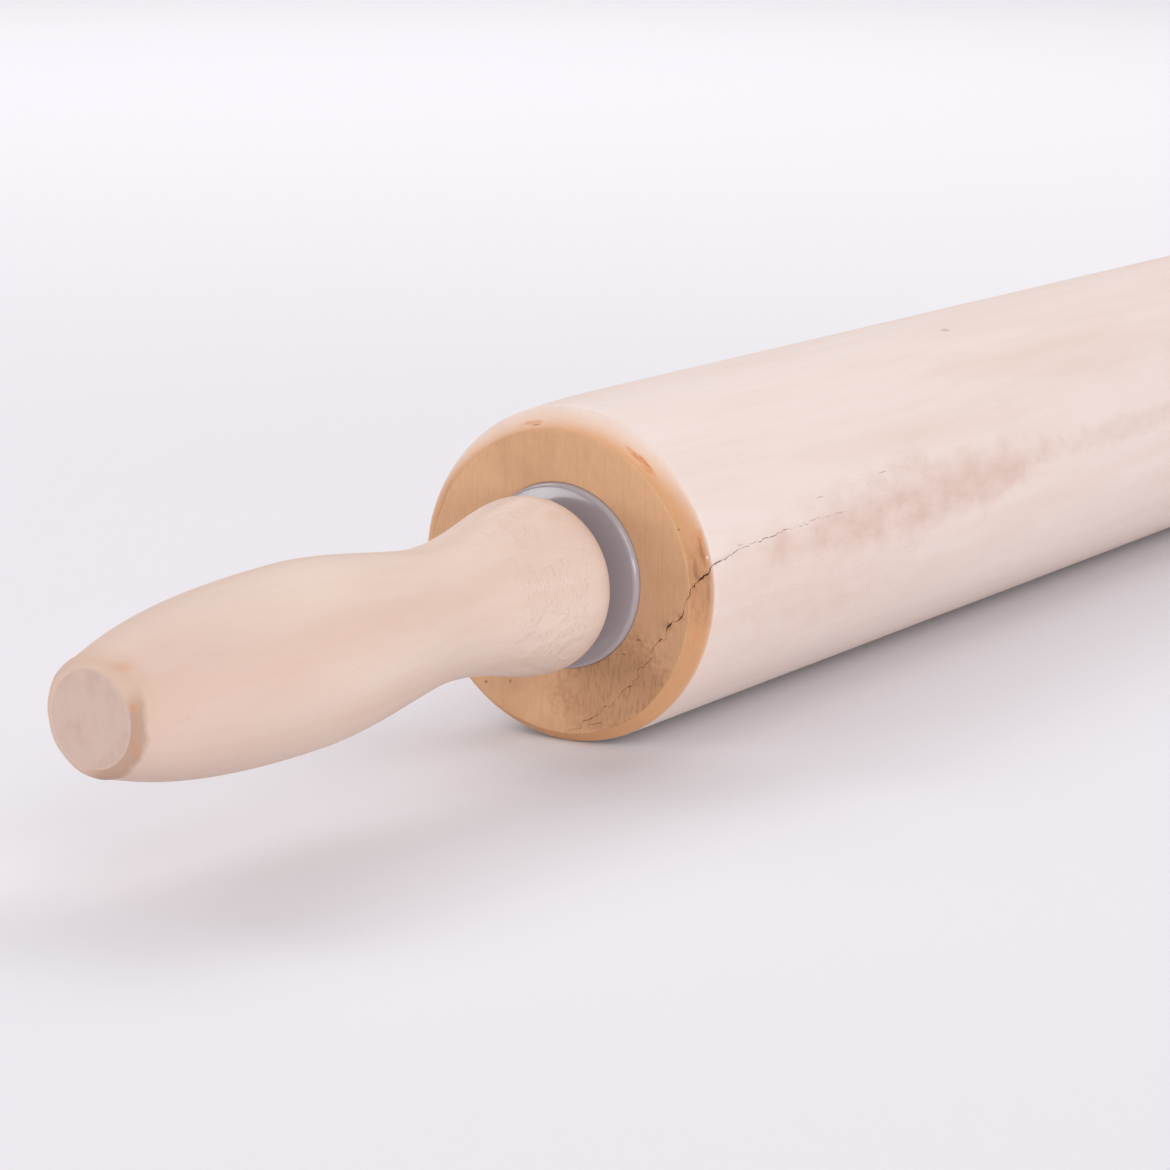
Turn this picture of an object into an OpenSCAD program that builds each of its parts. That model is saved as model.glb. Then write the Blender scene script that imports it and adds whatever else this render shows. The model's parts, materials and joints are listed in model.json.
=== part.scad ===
// Rolling pin: a wooden barrel that turns on a steel rod between two turned handles.
// The pin lies along X with its barrel on the table at Z = 0. The origin is on the table,
// under the middle of the barrel, and all sizes are in millimetres.

/* [Barrel] */
// Diameter of the barrel
barrel_d = 50; // [44:0.5:64]
// Length of the barrel between its two end faces
barrel_length = 250; // [180:1:450]
// How far the broken edge comes in over the end face
edge_inset = 3.2; // [1:0.1:5]
// How far the broken edge runs back along the side
edge_run = 1.6; // [1:0.1:4]
// Radius that softens the two corners of the broken edge
edge_softness = 0.7; // [0.3:0.1:0.9]

/* [Bushes] */
// Diameter of the flange that covers the mouth of the hole
flange_d = 27.4; // [24.5:0.1:32]
// Thickness of the flange at its rim
flange_thickness = 2.4; // [2:0.1:4]
// How far the flange's rim stands out of the end face
flange_proud = 0.9; // [0.5:0.1:1.5]
// How much further the sloping face of the flange stands out at its nose
flange_slope = 1; // [0:0.1:1.5]
// Radius of the flange's rounded rim
flange_rim_r = 0.8; // [0.2:0.1:0.9]
// Diameter of the body that is pressed into the barrel
bush_body_d = 20; // [17:0.5:23]
// Length of that body behind the flange
bush_body_length = 16; // [12:0.5:30]
// Width of the slope that leads the body into its hole
bush_lead_in = 1; // [0.5:0.1:1.5]
// Diameter of the raised nose that the washer runs against
nose_d = 14; // [12.5:0.5:18]
// Height of that nose over the flange
nose_height = 0.4; // [0.2:0.1:1.5]
// Number of grip grooves around the body
bush_groove_count = 3; // [1:1:3]
// Distance from one groove on the body to the next
bush_groove_pitch = 3.5; // [2:0.1:3.5]
// Depth of the grooves on the body
bush_groove_depth = 0.5; // [0.2:0.1:0.8]

/* [Rod and washers] */
// Diameter of the steel rod
rod_d = 8; // [6:0.5:10]
// Length of rod that is pressed into each handle
rod_grip = 42; // [25:1:55]
// Size of the bevel on the rod's two ends
rod_bevel = 0.8; // [0.3:0.1:1.5]
// Number of grip grooves near each end of the rod
rod_groove_count = 7; // [2:1:7]
// Distance from one groove on the rod to the next
rod_groove_pitch = 3; // [1.5:0.1:3]
// Depth of the grooves on the rod
rod_groove_depth = 0.3; // [0.1:0.05:0.5]
// Outer diameter of the thrust washers
washer_d = 16; // [13:0.5:17]
// Thickness of the thrust washers
washer_thickness = 1; // [0.5:0.1:2]

/* [Handles] */
// Length of a handle from its back face to its tip
handle_length = 99; // [85:1:130]
// Diameter of the flat back face
back_d = 18.6; // [17:0.1:20]
// Diameter of the bead at its crown
bead_d = 25.9; // [22:0.1:30]
// Distance from the back face to the crown of the bead
bead_at = 5; // [3:0.1:8]
// Diameter of the neck
neck_d = 19.1; // [16:0.1:21]
// Distance from the back face to the neck
neck_at = 29.2; // [24:0.1:34]
// Diameter of the swell that fills the palm
swell_d = 25; // [22:0.1:30]
// Distance from the back face to the swell
swell_at = 59; // [52:0.5:68]
// Diameter of the flat disc at the tip
tip_d = 14.2; // [8:0.1:17]
// How far the rounded edge of the tip runs along the handle
tip_edge_run = 2; // [0.5:0.1:4]
// How much the rounded edge adds to the radius of the tip
tip_edge_rise = 0.9; // [0.3:0.1:2]

/* [Fits] */
// Gap around the rod where it turns in a bush, on the radius
running_clearance = 0.05; // [0.02:0.01:0.09]
// Play of the barrel along the rod, at each end
end_float = 0.3; // [0.2:0.05:0.8]
// Gap around the rod inside a washer, on the radius
washer_clearance = 0.15; // [0.1:0.05:0.4]
// Gap between the flange and the wood around it
flange_clearance = 0.25; // [0.1:0.05:0.5]
// Air around the rod inside the barrel, on the radius
rod_air = 2; // [1:0.5:3]
// Air left beyond the end of a pressed piece in its blind hole
end_air = 0.8; // [0.3:0.1:2]

/* [Hidden] */

// Facets of a turned surface, and steps of each curve in an outline
$fn = 96;
curve_steps = 12;
arc_steps = 5;

// Radii that fit each other
barrel_r = barrel_d / 2;
flange_r = flange_d / 2;
bush_body_r = bush_body_d / 2;
nose_r = nose_d / 2;
rod_r = rod_d / 2;
bush_bore_r = rod_r + running_clearance;
washer_bore_r = rod_r + washer_clearance;
rod_hole_r = rod_r + rod_air;
recess_r = flange_r + flange_clearance;

// Places along X, counted from the middle of the barrel to its right end
face_x = barrel_length / 2;
flange_back_x = face_x + flange_proud - flange_thickness;
rim_x = face_x + flange_proud;
slope_x = rim_x + flange_slope;
bush_end_x = flange_back_x - bush_body_length;
seat_end_x = bush_end_x - end_air;
nose_x = slope_x + nose_height;
washer_x = nose_x + end_float;
handle_x = washer_x + washer_thickness;
rod_end_x = handle_x + rod_grip;
hole_end_x = rod_end_x + end_air;
tip_x = handle_x + handle_length;

// Widths of the grip grooves, as shares of their spacing
rod_groove_w = rod_groove_pitch / 3;
bush_groove_w = bush_groove_pitch / 3;

// How far each curve of the handle runs on level before it bends away
bead_run = 4.8;
cove_run = 11.2;
neck_run = 7.3;
palm_run = 11.2;
taper_run = 26.5;
tip_run = 4.5;
// Fall of the handle's outline where the tip's rounded edge begins
tip_slope = 0.22;

// The slope of a drill's point, which is left at the bottom of a blind hole
drill_point = 59;

// Bevel at the mouth of a bush's bore, and radius on a washer's edges
bore_bevel = 0.4;
washer_edge_r = 0.2;

// A unit vector along v
function unit(v) = v / norm(v);

// Points of an arc that rounds corner b, on the way from a to c
function rounded(a, b, c, radius) =
    let (
        to_a = unit(a - b),
        to_c = unit(c - b),
        half = acos(to_a * to_c) / 2,
        centre = b + unit(to_a + to_c) * radius / sin(half),
        start = b + to_a * radius / tan(half) - centre,
        turn = (180 - 2 * half) * sign(cross(start, to_a * -1))
    )
    [for (k = [0 : arc_steps])
        let (angle = turn * k / arc_steps)
        centre + [start.x * cos(angle) - start.y * sin(angle),
                  start.x * sin(angle) + start.y * cos(angle)]];

// Points of a smooth curve from a to b that leaves and arrives along its two control points
function curve(a, leave, arrive, b) =
    [for (k = [1 : curve_steps])
        let (t = k / curve_steps, s = 1 - t)
        s * s * s * a + 3 * s * s * t * leave + 3 * s * t * t * arrive + t * t * t * b];

// Points of part of an ellipse, from one angle to another
function ellipse_arc(centre, semi, from, to) =
    [for (k = [0 : curve_steps])
        let (angle = from + (to - from) * k / curve_steps)
        centre + [semi.x * cos(angle), semi.y * sin(angle)]];

// The same outline on the left, in reverse order, so that both halves join into one
function left_half(outline) =
    [for (k = [len(outline) - 1 : -1 : 0]) [-outline[k].x, outline[k].y]];

// Points of a row of V grooves cut into a surface of the given radius
function grooves(start, count, pitch, width, radius, depth) =
    [for (k = [0 : count - 1])
        let (x = start + k * pitch)
        each [[x, radius], [x + width / 2, radius - depth], [x + width, radius]]];

// A solid turned about the pin's axis, from an outline of [place along X, radius] points
module turned(outline) {
    translate([0, 0, barrel_r])
        rotate([0, 90, 0])
            rotate_extrude()
                polygon([for (p = outline) [p.y, p.x]]);
}

// Right end of the barrel: broken edge, end face, flange recess, bush seat and rod hole
function barrel_end() =
    let (
        side = [face_x - edge_run, barrel_r],
        rim = [face_x, barrel_r - edge_inset]
    )
    concat(
        rounded([0, barrel_r], side, rim, edge_softness),
        rounded(side, rim, [face_x, recess_r], edge_softness),
        [[face_x, recess_r],
         [flange_back_x, recess_r],
         [flange_back_x, bush_body_r],
         [seat_end_x, bush_body_r],
         [seat_end_x, rod_hole_r]]
    );

module barrel() {
    color([0.91, 0.80, 0.71])
        turned(concat(barrel_end(), left_half(barrel_end())));
}

// Flanged plastic bush in the right end of the barrel
module bush() {
    groove_start = bush_end_x + bush_lead_in + bush_groove_w;
    rim = [rim_x, flange_r];
    slope_top = [slope_x, nose_r];
    color([0.53, 0.50, 0.50])
        turned(concat(
            [[bush_end_x, bush_bore_r + bore_bevel],
             [bush_end_x, bush_body_r - bush_lead_in],
             [bush_end_x + bush_lead_in, bush_body_r]],
            grooves(groove_start, bush_groove_count, bush_groove_pitch, bush_groove_w,
                    bush_body_r, bush_groove_depth),
            [[flange_back_x, bush_body_r],
             [flange_back_x, flange_r]],
            rounded([flange_back_x, flange_r], rim, slope_top, flange_rim_r),
            [slope_top,
             [nose_x, nose_r],
             [nose_x, bush_bore_r + bore_bevel],
             [nose_x - bore_bevel, bush_bore_r],
             [bush_end_x + bore_bevel, bush_bore_r]]
        ));
}

module bush_left() {
    mirror([1, 0, 0]) bush();
}

module bush_right() {
    bush();
}

// Right half of the steel rod, with its grip grooves and beveled end
function rod_half() =
    concat(
        grooves(rod_end_x - rod_bevel - rod_groove_count * rod_groove_pitch, rod_groove_count,
                rod_groove_pitch, rod_groove_w, rod_r, rod_groove_depth),
        [[rod_end_x - rod_bevel, rod_r],
         [rod_end_x, rod_r - rod_bevel],
         [rod_end_x, 0]]
    );

module axle_rod() {
    color([0.74, 0.75, 0.77])
        turned(concat(left_half(rod_half()), rod_half()));
}

// Thrust washer between the right bush's nose and the handle's back face
module washer() {
    outer_r = washer_d / 2;
    inside = [washer_x, washer_bore_r];
    inner_edge = [washer_x, outer_r];
    outer_edge = [handle_x, outer_r];
    outside = [handle_x, washer_bore_r];
    color([0.80, 0.80, 0.81])
        turned(concat(
            [inside],
            rounded(inside, inner_edge, outer_edge, washer_edge_r),
            rounded(inner_edge, outer_edge, outside, washer_edge_r),
            [outside]
        ));
}

module washer_left() {
    mirror([1, 0, 0]) washer();
}

module washer_right() {
    washer();
}

// Right handle: bead, neck, swell and rounded tip, around the blind hole for the rod
module handle() {
    bead = [handle_x + bead_at, bead_d / 2];
    neck = [handle_x + neck_at, neck_d / 2];
    swell = [handle_x + swell_at, swell_d / 2];
    shoulder = [tip_x - tip_edge_run, tip_d / 2 + tip_edge_rise];
    color([0.88, 0.76, 0.68])
        turned(concat(
            [[handle_x, rod_r]],
            ellipse_arc([bead.x, back_d / 2], [bead_at, bead.y - back_d / 2], 180, 90),
            curve(bead, bead + [bead_run, 0], neck - [cove_run, 0], neck),
            curve(neck, neck + [neck_run, 0], swell - [palm_run, 0], swell),
            curve(swell, swell + [taper_run, 0], shoulder + [-tip_run, tip_run * tip_slope], shoulder),
            ellipse_arc([shoulder.x, tip_d / 2], [tip_edge_run, tip_edge_rise], 90, 0),
            [[tip_x, 0],
             [hole_end_x + rod_r / tan(drill_point), 0],
             [hole_end_x, rod_r]]
        ));
}

module handle_left() {
    mirror([1, 0, 0]) handle();
}

module handle_right() {
    handle();
}

barrel();
bush_left();
bush_right();
axle_rod();
washer_left();
washer_right();
handle_left();
handle_right();
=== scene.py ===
# %% [markdown]
# # A barrel rolling pin
# A rolling pin has a fat wooden barrel that turns on a steel rod, between two turned handles. The solids
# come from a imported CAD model, which is the fixed frame of this scene. Blender's part is the looks: soft
# turned outlines, a drying crack that is really cut into the wood, and the finish of every surface.
# Loading the frame first, before anything is made, gives the exact places that the new pieces must keep.

import json
import math

import bmesh
import bpy
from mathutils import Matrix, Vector, bvhtree, geometry, kdtree, noise


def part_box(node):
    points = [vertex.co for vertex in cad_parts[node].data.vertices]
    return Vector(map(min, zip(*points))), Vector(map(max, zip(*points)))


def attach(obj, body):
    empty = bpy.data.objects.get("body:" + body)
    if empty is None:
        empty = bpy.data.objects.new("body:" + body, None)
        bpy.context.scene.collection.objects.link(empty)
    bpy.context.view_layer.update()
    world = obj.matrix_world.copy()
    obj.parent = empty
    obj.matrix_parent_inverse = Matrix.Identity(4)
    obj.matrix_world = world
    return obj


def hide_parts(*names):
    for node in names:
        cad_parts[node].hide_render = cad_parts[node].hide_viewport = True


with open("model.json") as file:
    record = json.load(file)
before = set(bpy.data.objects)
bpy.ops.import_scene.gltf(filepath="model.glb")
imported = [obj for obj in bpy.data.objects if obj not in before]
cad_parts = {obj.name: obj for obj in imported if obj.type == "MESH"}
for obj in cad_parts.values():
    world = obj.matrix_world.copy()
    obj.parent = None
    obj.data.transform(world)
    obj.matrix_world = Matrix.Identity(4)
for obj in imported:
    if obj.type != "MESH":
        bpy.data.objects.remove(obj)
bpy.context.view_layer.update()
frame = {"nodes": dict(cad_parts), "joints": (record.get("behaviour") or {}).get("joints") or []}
nodes = frame["nodes"]

MM = 0.001                                    # Blender works in metres, a wood turner in millimetres
AXIS = frame["joints"][0]["pos_m"][2] / MM    # height of the pin's axis over the table
TINY = 1e-6                                   # metres: points closer than this are one point
SLACK = 0.1                                   # mm: a point this near to an outline counts as on it
print("pieces:", sorted(nodes))

# %% [markdown]
# ## The camera
# A camera could be placed by eye, or by Blender's view tools. Here it was worked out from the photographed
# outlines of the barrel and of its round end, so it is written as numbers: where the lens is, what it
# looks at, and its focal length. A long lens from half a metre keeps the near handle from looking huge.

# %% Camera
EYE = Vector((-548.6, -283.9, 131.4)) * MM
LOOKS_AT = Vector((-122.2, -2.46, 23.36)) * MM
FOCAL_LENGTH, SENSOR_WIDTH = 110.6, 36.0
NEAREST_SEEN, FARTHEST_SEEN = 0.01, 50.0      # metres

lens = bpy.data.cameras.new("portrait_lens")
lens.lens = FOCAL_LENGTH
lens.sensor_width = SENSOR_WIDTH
lens.clip_start, lens.clip_end = NEAREST_SEEN, FARTHEST_SEEN
camera = bpy.data.objects.new("camera", lens)
camera.location = EYE
camera.rotation_euler = (LOOKS_AT - EYE).to_track_quat("-Z", "Y").to_euler()
bpy.context.scene.collection.objects.link(camera)
bpy.context.scene.camera = camera
print("camera is", round((LOOKS_AT - EYE).length, 3), "m from the end of the barrel")

# %% [markdown]
# ## The outline of a turned piece
# Everything on a rolling pin is round, so each piece is one half outline turned about the pin's axis. The
# outline could be typed in again, but then it might drift away from the CAD. Cutting the CAD mesh with
# two planes leaves exactly that half outline as a chain of edges, so it is read from there.

# %% Read a node's half outline
def half_outline(node):
    """The outline of a round CAD node above the axis, in order, as (place along the pin, radius) in mm."""
    bm = bmesh.new()
    bm.from_mesh(nodes[node].data)
    bmesh.ops.remove_doubles(bm, verts=bm.verts, dist=TINY)
    for normal, wire_only in (((0, 0, -1), False), ((0, 1, 0), True)):
        cut = bmesh.ops.bisect_plane(
            bm, geom=bm.verts[:] + bm.edges[:] + bm.faces[:], dist=TINY, plane_co=(0, 0, AXIS * MM),
            plane_no=normal, clear_outer=True, clear_inner=wire_only)["geom_cut"]
    neighbours = {}
    for edge in (g for g in cut if isinstance(g, bmesh.types.BMEdge)):
        for vert in edge.verts:
            neighbours.setdefault(vert, []).append(edge.other_vert(vert))
    chain = [next((v for v in neighbours if len(neighbours[v]) == 1), next(iter(neighbours)))]
    while onward := [v for v in neighbours[chain[-1]] if v not in chain]:
        chain.append(onward[0])
    outline = [(v.co.x / MM, v.co.z / MM - AXIS) for v in chain]
    bm.free()
    return outline


barrel_outline = half_outline("barrel")
bush_outline = half_outline("bush_left")
handle_outline = half_outline("handle_left")
BARREL_R = max(r for _, r in barrel_outline)
FACE_X = max(x for x, _ in barrel_outline)
print("barrel: radius", round(BARREL_R, 2), "and end faces at", round(FACE_X, 2), "mm")

# %% [markdown]
# ## Turning an outline into a mesh
# The spin operator does on a chain of edges what a lathe does on a blank. Long straight stretches are
# divided first, because the fine shaping later can only move points that exist. After a full spin the
# first and last rings are merged, and the normals are recalculated so that every face points outwards.

# %% Lathe helpers
def divided(outline, longest):
    """A closed outline with extra points, so that no stretch is longer than longest(x, radius)."""
    points = []
    for (xa, ra), (xb, rb) in zip(outline, outline[1:] + outline[:1]):
        steps = max(1, math.ceil(math.dist((xa, ra), (xb, rb)) / longest((xa + xb) / 2, (ra + rb) / 2)))
        points += [(xa + (xb - xa) * k / steps, ra + (rb - ra) * k / steps) for k in range(steps)]
    return points


def spun(points, centre, axis, around, closed):
    """A bmesh that is spun from a chain of points. Closed means that the last point joins the first."""
    bm = bmesh.new()
    chain = [bm.verts.new(point) for point in points]
    edges = [bm.edges.new(pair) for pair in zip(chain, chain[1:] + chain[:1] if closed else chain[1:])]
    bmesh.ops.spin(bm, geom=chain + edges, cent=centre, axis=axis, dvec=(0, 0, 0), angle=math.tau,
                   steps=around, use_merge=True, use_duplicate=False)
    bmesh.ops.remove_doubles(bm, verts=bm.verts, dist=TINY)
    bmesh.ops.recalc_face_normals(bm, faces=bm.faces)
    return bm


def turned(outline, around, closed=True):
    """A round piece of the pin, from a half outline that is a loop or that ends on the axis."""
    points = [(x * MM, 0, (AXIS + r) * MM) for x, r in outline]
    return spun(points, (0, 0, AXIS * MM), (1, 0, 0), around, closed)


def as_object(bm, name, materials=()):
    """A smoothly shaded scene object from a bmesh."""
    for face in bm.faces:
        face.smooth = True
    mesh = bpy.data.meshes.new(name)
    bm.to_mesh(mesh)
    bm.free()
    for material in materials:
        mesh.materials.append(material)
    made = bpy.data.objects.new(name, mesh)
    bpy.context.scene.collection.objects.link(made)
    return made


SHARP = math.radians(32)    # edges that fold more than this stay crisp


def finished(bm, name, body, stands_for):
    """Makes a bmesh a piece of the pin, and lets it ride on its body in place of a CAD node."""
    for edge in bm.edges:
        edge.smooth = len(edge.link_faces) == 2 and edge.calc_face_angle(0) < SHARP
    piece = as_object(bm, name)
    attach(piece, body)
    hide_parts(stands_for)
    own = Vector(piece.bound_box[6]) - Vector(piece.bound_box[0])
    low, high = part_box(stands_for)
    print(name, "has", len(piece.data.polygons), "faces; in mm, it and its CAD node measure",
          *([round(c / MM, 2) for c in size] for size in (own, high - low)))
    return piece


# %% [markdown]
# ## The barrel
# The barrel is a plain cylinder with a broken edge at each end, a hole for the rod, and a seat for each
# bush. Near the cracked end its side is divided finely, because the stain around the crack is stored on
# its points. A turned and sanded stick is never perfectly true, so the surface waves by a few hundredths
# of a millimetre. The edges were broken by hand, on a belt: the border of the end face is a circle that
# sits off centre, and on one side the belt also rounded the rim and a stretch of the side behind it.
# Bevels could not do that, so the points slide, each by an amount worked out from its own place.

# %% How finely the barrel is divided
BARREL_AROUND = 256
CRACKED_STRETCH = 46      # length of side that the crack reaches, from the left end
END_ZONE = 2              # the stretch at each end that is divided finely all round
HIDDEN_R = 13             # inside this radius the barrel is never seen
FLAT_R = 18               # inside this radius the end face stays as the CAD has it
SIDE_R = BARREL_R - SLACK # points outside this radius are on the side
EDGE_STEP, CRACKED_STEP, PLAIN_STEP, HIDDEN_STEP = 0.45, 1.2, 6, 40


def barrel_step(x, r):
    """Longest stretch of the barrel's outline: fine near the crack, coarse elsewhere."""
    if r < HIDDEN_R:
        return HIDDEN_STEP
    at_end = abs(x) > FACE_X - END_ZONE
    if at_end and r > FLAT_R:
        return EDGE_STEP
    return CRACKED_STEP if at_end or x < CRACKED_STRETCH - FACE_X else PLAIN_STEP


barrel_bm = turned(divided(barrel_outline, barrel_step), BARREL_AROUND)
print("barrel:", len(barrel_bm.faces), "faces before the crack is cut")

# %% Moving points in and out
def places(bm):
    """Each point with its place in mm: along the pin, sideways, over the axis, and away from the axis."""
    for vert in bm.verts:
        x, y, z = vert.co.x / MM, vert.co.y / MM, vert.co.z / MM - AXIS
        yield vert, x, y, z, math.hypot(y, z)


def push_out(vert, y, z, r, move):
    """Moves a point by so many mm, straight away from the axis."""
    vert.co.y += move * y / r * MM
    vert.co.z += move * z / r * MM


def wavy(bm, depth, length, where):
    """Moves each point in or out by slow noise, by up to depth mm times what where(x, radius) says."""
    for vert, x, y, z, r in places(bm):
        share = where(x, r)
        if share and r:
            push_out(vert, y, z, r, noise.noise(Vector((x, y, z)) / length) * depth * share)


# %% Break the barrel's edges
# For each end (-1 is the left one). Directions are degrees from the top, towards the front (-Y).
FACE_EDGE_R = 21.8        # the border of the flat end face
BORDER_SHIFT = {-1: (0.55, -1.2, 20), 1: (0.2, -0.7, 250)}      # outwards, off centre, towards
BORDER_DEPTH = 4          # how far behind the face the border's shift reaches
RIM_R = 22                # the rounding of the rim moves points outside this radius
ROUNDED_RIM = {-1: (0.65, 322, 48), 1: (0.4, 120, 50)}          # depth, middle, half width
ROUNDED_LEVEL, ROUNDED_FADE, ROUNDED_END = 4.5, 4.5, 25         # even, then running out, along the side
BUSH_SEAT_R = 13.95       # the seat around the bush's flange, whose gap stays widest in one direction
SEAT_CLOSES, SEAT_OFF_CENTRE, SEAT_WIDEST = 0.205, 0.035, 70
SEAT_MATCH = 0.02         # a point this near to the seat's radius is on the seat


def broken_by_hand(bm):
    """Slides the end face's border off centre, rounds a stretch of rim, and closes the bush's seat."""
    for vert, x, y, z, r in places(bm):
        end, inwards = math.copysign(1, x), FACE_X - abs(x)
        if r < HIDDEN_R or inwards > ROUNDED_END:
            continue
        angle = math.degrees(math.atan2(-y, z))
        move = 0
        if inwards < BORDER_DEPTH and FLAT_R < r < SIDE_R:
            start = FLAT_R if r < FACE_EDGE_R else SIDE_R
            outwards, off_centre, towards = BORDER_SHIFT[end]
            move += (r - start) / (FACE_EDGE_R - start) * (
                outwards + off_centre * math.cos(math.radians(angle - towards)))
        if r > RIM_R:
            depth, middle, half_width = ROUNDED_RIM[end]
            aside = abs((angle - middle + 180) % 360 - 180) / half_width
            bell = max(0, 1 - aside ** 2) ** 1.5
            move -= depth * bell * math.exp(-max(0, inwards - ROUNDED_LEVEL) / ROUNDED_FADE)
        if abs(r - BUSH_SEAT_R) < SEAT_MATCH:
            move -= SEAT_CLOSES - SEAT_OFF_CENTRE * math.cos(math.radians(angle - SEAT_WIDEST))
        push_out(vert, y, z, r, move)


broken_by_hand(barrel_bm)
print("left rim rounded by up to", ROUNDED_RIM[-1][0], "mm")

# %% Make the barrel less than true
SIDE_WAVE = (0.02, 14)    # how far the sanded side strays, and how long its waves are, in mm
EDGE_WAVE = (0.10, 5)     # the same for the hand-broken edges
EDGE_IN, EDGE_BACK = 4, 1.4     # what counts as the edge: from the rim inwards, and from the face back

wavy(barrel_bm, *SIDE_WAVE, lambda x, r: r > SIDE_R)
wavy(barrel_bm, *EDGE_WAVE, lambda x, r: r > BARREL_R - EDGE_IN and abs(x) > FACE_X - EDGE_BACK)
print("barrel's widest radius:", round(max(r for *_, r in places(barrel_bm)), 3), "mm")

# %% [markdown]
# ## The crack
# Wood that dries unevenly splits along its grain. This split starts on the left end face below the bush,
# climbs in small steps to the broken edge, and runs along the side as a hairline. It could be painted on,
# but a real groove catches shadow from every side. So a thin wedge is pulled along the crack's path, by
# extruding its edge loop from one triangular section to the next, and a boolean cuts it out of the wood.

# %% The crack's path
# On the end face, from the broken edge to the end: (y, height over the axis, half width), in mm
CRACK_ON_FACE = [
    (-24.3, 3.5, .09), (-23.6, 2.7, .11), (-22.9, 2.0, .12), (-22.3, 1.6, .11), (-22.1, 0.7, .08),
    (-21.6, -0.4, .04), (-21.0, -2.1, .05), (-20.7, -3.4, .08), (-19.8, -4.0, .12), (-19.3, -4.6, .11),
    (-18.4, -5.5, .12), (-17.9, -6.3, .10), (-17.9, -7.0, .09), (-16.8, -7.8, .07), (-16.1, -8.6, .05),
    (-15.4, -10.0, .04), (-14.3, -11.4, .05), (-13.2, -12.9, .04), (-12.5, -14.8, .035),
    (-11.2, -15.2, .045), (-10.6, -16.3, .035), (-9.9, -17.0, .05), (-8.6, -18.0, .04),
    (-7.2, -18.9, .055), (-6.4, -19.7, .04), (-5.4, -20.5, .045), (-3.3, -21.9, .04), (-0.2, -23.2, .03)]
# On the side, from far to near: (place along the pin, degrees from the top, half width)
CRACK_ON_SIDE = [
    (-83.2, 77.2, .02), (-86.9, 76.9, .025), (-92.4, 76.5, .03), (-97.0, 76.7, .035), (-100.6, 77.0, .04),
    (-105.9, 77.2, .045), (-112.1, 78.0, .05), (-113.4, 77.8, .06), (-116.5, 78.9, .06),
    (-120.8, 80.0, .08), (-122.9, 80.8, .10)]
CRACK_STEP = 0.36               # spacing of the wedge's sections
CRACK_JITTER = (0.34, 0.20)     # how far sections stray sideways on the face and on the side
EVEN_WIDTH, UNEVEN_WIDTH = 0.80, 2.0    # the share of its written width that the crack has, and its noise
NARROWEST, WIDEST = 0.35, 1.35          # the least and the most of that share
WEDGE_PROUD = 0.6               # how far the wedge stands out of the wood, for a clean cut
DEPTH, DEPTH_AT, DEPTH_POWER = 1.5, 0.2, 0.6    # depth at one half width, and how it goes with the width
EDGE_BEGINS, EDGE_TURNS = 20.5, 4.3     # the radius where the crack starts to turn outwards, and how slowly
FACE_AIM_R = BARREL_R - 0.5     # a line along the pin, nearer to the axis than this, surely meets the wood


def in_scene(place):
    """A place in mm about the axis, as the scene's metres over the table."""
    return (place + Vector((0, 0, AXIS))) * MM


def on_the_wood(start, direction):
    """Where a straight line from outside, in mm about the axis, first meets the barrel."""
    hit = barrel_skin.ray_cast(in_scene(start), direction)[0]
    return hit / MM - Vector((0, 0, AXIS))


def crack_points():
    """The path as (point, outward direction, half width), in mm with the axis at height 0."""
    path = []
    for x, degrees, half in CRACK_ON_SIDE:
        out = Vector((0, -math.sin(math.radians(degrees)), math.cos(math.radians(degrees))))
        path.append((on_the_wood(Vector((x, 0, 0)) + out * 2 * BARREL_R, -out), out, half))
    for y, z, half in CRACK_ON_FACE:
        r = min(math.hypot(y, z), FACE_AIM_R)
        radial = Vector((0, y, z)).normalized()
        over_edge = min(1, max(0, (r - EDGE_BEGINS) / EDGE_TURNS))
        out = (Vector((-1, 0, 0)) + radial * over_edge).normalized()
        path.append((on_the_wood(Vector((-2 * FACE_X, 0, 0)) + radial * r, Vector((1, 0, 0))), out, half))
    return path


def crack_stations():
    """Places close together along the crack, as (point, outward direction, sideways, half width)."""
    stations, path = [], crack_points()
    for (a, out_a, half_a), (b, out_b, half_b) in zip(path, path[1:]):
        steps = max(1, round((b - a).length / CRACK_STEP))
        for k in range(steps):
            at = a.lerp(b, k / steps)
            out = out_a.lerp(out_b, k / steps).normalized()
            side = (b - a).cross(out).normalized()
            on_side = at.x > END_ZONE - FACE_X
            at += side * CRACK_JITTER[on_side] * (noise.cell(at * 1.1) - 0.5 + 0.5 * noise.noise(at * 2.3))
            share = EVEN_WIDTH + UNEVEN_WIDTH * noise.noise(at * 1.2 + Vector((9, 0, 0)))
            half = (half_a + (half_b - half_a) * k / steps) * min(WIDEST, max(NARROWEST, share))
            stations.append((at, out, side, half))
    return stations


def across_crack(at, out, side, half):
    """A triangle across the crack, with its point in the wood."""
    depth = DEPTH * (half / DEPTH_AT) ** DEPTH_POWER
    flare = half * (1 + WEDGE_PROUD / depth)
    outside = at + out * WEDGE_PROUD
    return [in_scene(p) for p in (outside - side * flare, outside + side * flare, at - out * depth)]


barrel_skin = bvhtree.BVHTree.FromBMesh(barrel_bm)
stations = crack_stations()
widest = 2 * max(half for *_, half in stations)
print("crack:", len(stations), "sections, at most", round(widest, 2), "mm wide")

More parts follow.
